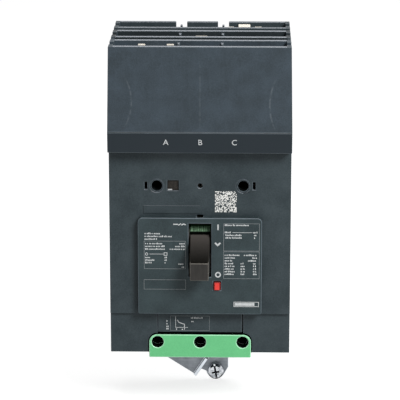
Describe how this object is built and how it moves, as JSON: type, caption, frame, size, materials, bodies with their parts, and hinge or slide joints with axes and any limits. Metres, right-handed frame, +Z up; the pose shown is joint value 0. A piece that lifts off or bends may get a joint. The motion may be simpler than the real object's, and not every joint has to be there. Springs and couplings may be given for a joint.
{
  "type": "molded case circuit breaker",
  "caption": "Plug-on molded case circuit breaker with bus jaws under a line shield, a toggle and trip button on a raised face plate, green lug carrier and mounting bracket.",
  "frame": {"origin": "centre of the case's flat rear mounting face", "axes": "+Z up towards the line end with the bus jaws, +Y into the panel, so the face plate and toggle face -Y"},
  "size_m": [0.1142, 0.1011, 0.2427],
  "materials": {
    "housing_plastic": "fine moulded texture, slate grey",
    "face_plastic": "fine moulded texture, slate grey",
    "rotor_plastic": "moulded, black",
    "tab_plastic": "moulded, brown",
    "green_plastic": "moulded, light green",
    "toggle_plastic": "moulded, warm black",
    "red_plastic": "moulded, red",
    "zinc_steel": "zinc plated",
    "dark_steel": "oiled",
    "spring_steel": "drawn",
    "chute_stack": "plated plates in fibre sheets",
    "copper": "rolled copper",
    "tinned_copper": "tinned copper",
    "tinned_aluminium": "tinned",
    "silver_alloy": "pressed silver alloy",
    "bimetal": "rolled strip",
    "print_ink": "pad-printed pale grey ink",
    "flag_film": "dark green printed film"
  },
  "bodies": {
    "case": {"base_case": "housing_plastic", "front_cover": "housing_plastic", "screw_wells": "housing_plastic", "line_shield": "housing_plastic", "line_insulator": "housing_plastic", "face_plate": "face_plastic", "load_end_plate": "face_plastic", "sight_tab": "tab_plastic", "lug_carrier": "green_plastic", "cover_screws": "dark_steel", "case_screws": "zinc_steel", "mounting_bracket": "zinc_steel", "bracket_rivets": "zinc_steel", "mounting_screw": "zinc_steel", "handle_pin": "zinc_steel", "toggle_spring": "spring_steel", "mechanism_frame": "zinc_steel", "cradle_pin": "zinc_steel", "line_contacts": "silver_alloy", "load_contacts": "silver_alloy", "jaw_springs": "spring_steel", "lug_screws": "dark_steel", "magnet_yokes": "dark_steel", "trip_spring": "spring_steel", "jaw_a": "tinned_copper", "jaw_b": "tinned_copper", "jaw_c": "tinned_copper", "line_strap_a": "copper", "line_strap_b": "copper", "line_strap_c": "copper", "line_chute_a": "chute_stack", "line_chute_b": "chute_stack", "line_chute_c": "chute_stack", "load_chute_a": "chute_stack", "load_chute_b": "chute_stack", "load_chute_c": "chute_stack", "load_strap_a": "copper", "load_strap_b": "copper", "load_strap_c": "copper", "bimetal_a": "bimetal", "bimetal_b": "bimetal", "bimetal_c": "bimetal", "load_lug_a": "tinned_aluminium", "load_lug_b": "tinned_aluminium", "load_lug_c": "tinned_aluminium"},
    "toggle": {"toggle_handle": "toggle_plastic", "handle_yoke": "zinc_steel"},
    "links": {"drive_links": "zinc_steel"},
    "rotor": {"rotor": "rotor_plastic", "moving_contacts": "silver_alloy", "contact_bar_a": "copper", "contact_bar_b": "copper", "contact_bar_c": "copper"},
    "trip_button": {"trip_button": "red_plastic"},
    "trip_bar": {"trip_bar": "rotor_plastic"},
    "armature": {"armature": "dark_steel"},
    "cradle": {"cradle": "dark_steel"}
  },
  "joints": [
    {"name": "toggle_swing", "type": "hinge", "parent": "case", "child": "toggle", "pos_m": [0, -0.058, -0.0302], "axis": [-1, 0, 0], "range_deg": [-6, 24], "deforming": ["toggle_spring"]},
    {"name": "rotor_turn", "type": "hinge", "parent": "case", "child": "rotor", "pos_m": [0, -0.032, -0.038], "axis": [-1, 0, 0], "range_deg": [-6, 24]},
    {"name": "link_swing", "type": "hinge", "parent": "toggle", "child": "links", "pos_m": [0, -0.05934, -0.04112], "axis": [-1, 0, 0], "range_deg": [-24, 6]},
    {"name": "trip_push", "type": "slide", "parent": "case", "child": "trip_button", "axis": [0, 1, 0], "range_m": [0, 0.0018], "stiffness_N_per_m": 400, "deforming": ["trip_spring"]},
    {"name": "trip_bar_turn", "type": "hinge", "parent": "case", "child": "trip_bar", "pos_m": [0, -0.05, -0.052], "axis": [1, 0, 0], "range_deg": [0, 19]},
    {"name": "armature_swing", "type": "hinge", "parent": "case", "child": "armature", "pos_m": [0, -0.0492, -0.0615], "axis": [1, 0, 0], "range_deg": [0, 3], "stiffness_Nm_per_rad": 0.05},
    {"name": "cradle_swing", "type": "hinge", "parent": "case", "child": "cradle", "pos_m": [0, -0.051, -0.0235], "axis": [1, 0, 0], "range_deg": [0, 8.2]}
  ],
  "couplings": [
    {"joint": "rotor_turn", "follows": "toggle_swing", "ratio": 1},
    {"joint": "link_swing", "follows": "toggle_swing", "ratio": -1},
    {"joint": "trip_bar_turn", "follows": "trip_push", "rad_per_m": 181.8},
    {"joint": "cradle_swing", "follows": "trip_push", "rad_per_m": 77}
  ]
}
